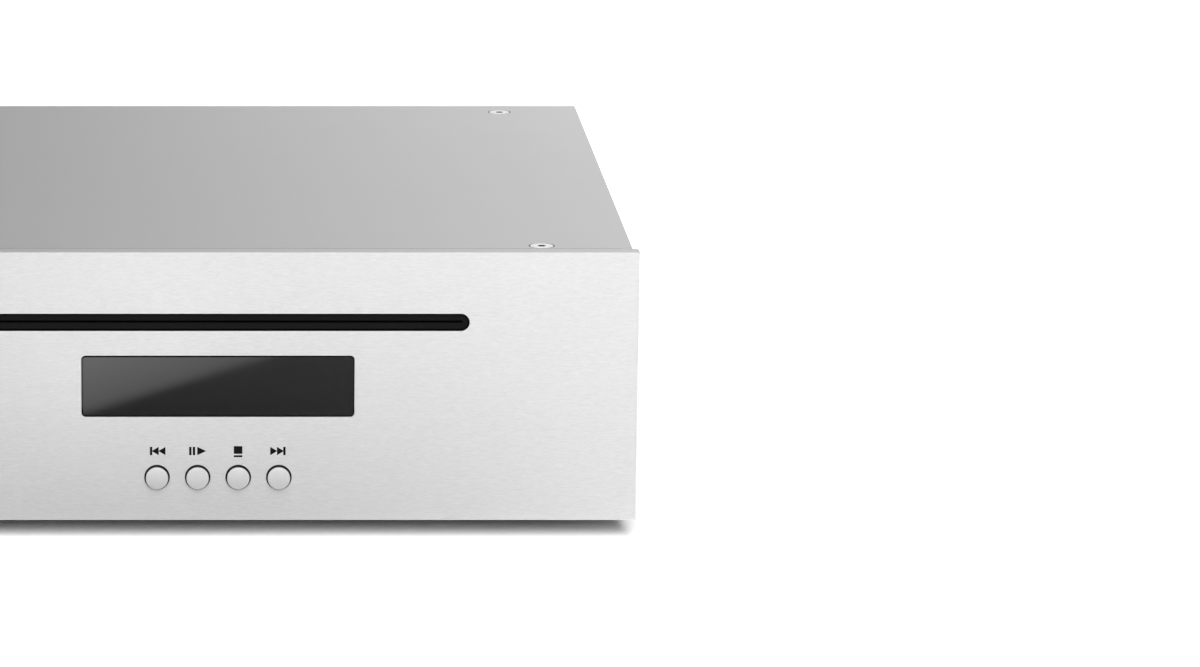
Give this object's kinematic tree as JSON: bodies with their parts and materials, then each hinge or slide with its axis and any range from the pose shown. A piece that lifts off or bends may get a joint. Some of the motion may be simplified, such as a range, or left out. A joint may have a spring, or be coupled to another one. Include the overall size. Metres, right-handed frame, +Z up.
{
  "type": "slot-loading disc player",
  "caption": "Half-width slot-loading disc player: thick front plate with slot, display window and round buttons, folded cover, feet, loader, drive, boards and rear sockets.",
  "frame": {"origin": "on the ground, under the middle of the player's whole width and depth, the front buttons and the rear sockets included", "axes": "+Z up, +X to the right seen from the front, the front panel faces -Y"},
  "size_m": [0.206, 0.2206, 0.072],
  "materials": {
    "brushed_aluminium": "finely brushed, clear anodised",
    "cover_grey": "satin anodised",
    "black_felt": "short pile",
    "window_acrylic": "smoked, polished",
    "zinc_sheet": "zinc plated",
    "screw_steel": "nickel plated",
    "black_rubber": "matte",
    "button_aluminium": "turned and anodised",
    "clear_acrylic": "clear",
    "circuit_board": "solder resist",
    "black_plastic": "fine texture",
    "white_plastic": "moulded acetal",
    "display_glass": "dark display glass",
    "motor_steel": "drawn can",
    "spring_steel": "drawn wire",
    "polished_rod": "polished",
    "lens_glass": "coated",
    "cable_white": "laminated ribbon"
  },
  "bodies": {
    "case": {"front_panel": "brushed_aluminium", "display_window": "window_acrylic", "slot_felt": "black_felt", "bottom_chassis": "zinc_sheet", "top_cover": "cover_grey", "rear_panel": "cover_grey", "cover_screw_front_left": "screw_steel", "cover_screw_front_right": "screw_steel", "cover_screw_rear_left": "screw_steel", "cover_screw_rear_right": "screw_steel", "foot_front_left": "black_rubber", "foot_front_right": "black_rubber", "foot_rear_left": "black_rubber", "foot_rear_right": "black_rubber", "standby_light_pipe": "clear_acrylic", "display_module": "display_glass", "front_board": "circuit_board", "switch_previous": "black_plastic", "switch_play_pause": "black_plastic", "switch_stop_eject": "black_plastic", "switch_next": "black_plastic", "switch_standby": "black_plastic", "loader_base": "zinc_sheet", "loader_top_plate": "zinc_sheet", "disc_guide_rail": "black_plastic", "loading_motor": "motor_steel", "clamp_spring": "spring_steel", "traverse_chassis": "zinc_sheet", "damper_front_left": "black_rubber", "damper_rear_left": "black_rubber", "damper_right": "black_rubber", "spindle_motor": "motor_steel", "guide_rod_left": "polished_rod", "guide_rod_right": "polished_rod", "sled_motor": "motor_steel", "main_board": "circuit_board", "front_flat_cable": "cable_white", "audio_jack_pair": "black_plastic", "optical_jack": "black_plastic", "power_inlet": "black_plastic"},
    "bracket": {"roller_bracket": "zinc_sheet"},
    "roller": {"roller_shaft": "polished_rod", "roller_sleeve": "black_rubber", "roller_gear": "white_plastic"},
    "idler": {"idler_gear": "white_plastic"},
    "loading_pinion": {"motor_pinion": "white_plastic"},
    "cam": {"cam_slide": "white_plastic"},
    "arm": {"clamp_arm": "zinc_sheet"},
    "puck": {"clamp_puck": "black_plastic"},
    "turntable": {"turntable": "black_plastic"},
    "pickup": {"optical_pickup": "black_plastic"},
    "lens": {"objective_lens": "lens_glass"},
    "sled_gear": {"sled_gear": "white_plastic"},
    "sled_pinion": {"sled_pinion": "white_plastic"},
    "shutter": {"optical_jack_shutter": "black_plastic"},
    "previous": {"button_previous": "button_aluminium"},
    "play_pause": {"button_play_pause": "button_aluminium"},
    "stop_eject": {"button_stop_eject": "button_aluminium"},
    "next": {"button_next": "button_aluminium"},
    "standby": {"button_standby": "button_aluminium"}
  },
  "joints": [
    {"name": "bracket_swing", "type": "hinge", "parent": "case", "child": "bracket", "pos_m": [0, -0.0557, 0.045], "axis": [1, 0, 0], "range_deg": [0, 10.5]},
    {"name": "roller_turn", "type": "hinge", "parent": "bracket", "child": "roller", "pos_m": [0, -0.0757, 0.04885], "axis": [1, 0, 0], "continuous": true},
    {"name": "idler_turn", "type": "hinge", "parent": "case", "child": "idler", "pos_m": [0.0697, -0.07326, 0.06141], "axis": [1, 0, 0], "continuous": true},
    {"name": "loading_pinion_turn", "type": "hinge", "parent": "case", "child": "loading_pinion", "pos_m": [0.0697, -0.06286, 0.06141], "axis": [1, 0, 0], "continuous": true},
    {"name": "cam_move", "type": "slide", "parent": "case", "child": "cam", "axis": [0, -1, 0], "range_m": [0, 0.012]},
    {"name": "arm_swing", "type": "hinge", "parent": "case", "child": "arm", "pos_m": [0, 0.0413, 0.064], "axis": [1, 0, 0], "range_deg": [0, 5.5]},
    {"name": "puck_turn", "type": "hinge", "parent": "arm", "child": "puck", "pos_m": [0, -0.01953, 0.0583], "axis": [0, 0.0958, 0.9954], "continuous": true},
    {"name": "turntable_turn", "type": "hinge", "parent": "case", "child": "turntable", "pos_m": [0, -0.0187, 0.051], "axis": [0, 0, 1], "continuous": true},
    {"name": "pickup_move", "type": "slide", "parent": "case", "child": "pickup", "axis": [0, 1, 0], "range_m": [0, 0.0355]},
    {"name": "lens_focus", "type": "slide", "parent": "pickup", "child": "lens", "axis": [0, 0, 1], "range_m": [-0.0005, 0.0005], "stiffness_N_per_m": 200},
    {"name": "sled_gear_turn", "type": "hinge", "parent": "case", "child": "sled_gear", "pos_m": [-0.03316, 0.0163, 0.0376], "axis": [0, 0, 1], "range_deg": [0, 424]},
    {"name": "sled_pinion_turn", "type": "hinge", "parent": "case", "child": "sled_pinion", "pos_m": [-0.04381, 0.02714, 0.0376], "axis": [0, 0, 1], "range_deg": [-1187, 0]},
    {"name": "shutter_swing", "type": "hinge", "parent": "case", "child": "shutter", "pos_m": [0.008, 0.1003, 0.0217], "axis": [1, 0, 0], "range_deg": [-85, 0], "stiffness_Nm_per_rad": 0.0005, "springref_deg": 17.19},
    {"name": "previous_press", "type": "slide", "parent": "case", "child": "previous", "axis": [0, 1, 0], "range_m": [0, 0.0006], "stiffness_N_per_m": 1500, "springref_m": -0.0003},
    {"name": "play_pause_press", "type": "slide", "parent": "case", "child": "play_pause", "axis": [0, 1, 0], "range_m": [0, 0.0006], "stiffness_N_per_m": 1500, "springref_m": -0.0003},
    {"name": "stop_eject_press", "type": "slide", "parent": "case", "child": "stop_eject", "axis": [0, 1, 0], "range_m": [0, 0.0006], "stiffness_N_per_m": 1500, "springref_m": -0.0003},
    {"name": "next_press", "type": "slide", "parent": "case", "child": "next", "axis": [0, 1, 0], "range_m": [0, 0.0006], "stiffness_N_per_m": 1500, "springref_m": -0.0003},
    {"name": "standby_press", "type": "slide", "parent": "case", "child": "standby", "axis": [0, 1, 0], "range_m": [0, 0.0006], "stiffness_N_per_m": 1500, "springref_m": -0.0003}
  ],
  "couplings": [
    {"joint": "idler_turn", "follows": "roller_turn", "ratio": -1},
    {"joint": "loading_pinion_turn", "follows": "roller_turn", "ratio": 1.6},
    {"joint": "cam_move", "follows": "bracket_swing", "m_per_rad": 0.06548},
    {"joint": "arm_swing", "follows": "bracket_swing", "ratio": 0.5238},
    {"joint": "sled_gear_turn", "follows": "pickup_move", "rad_per_m": 208.33},
    {"joint": "sled_pinion_turn", "follows": "pickup_move", "rad_per_m": -583.33}
  ]
}
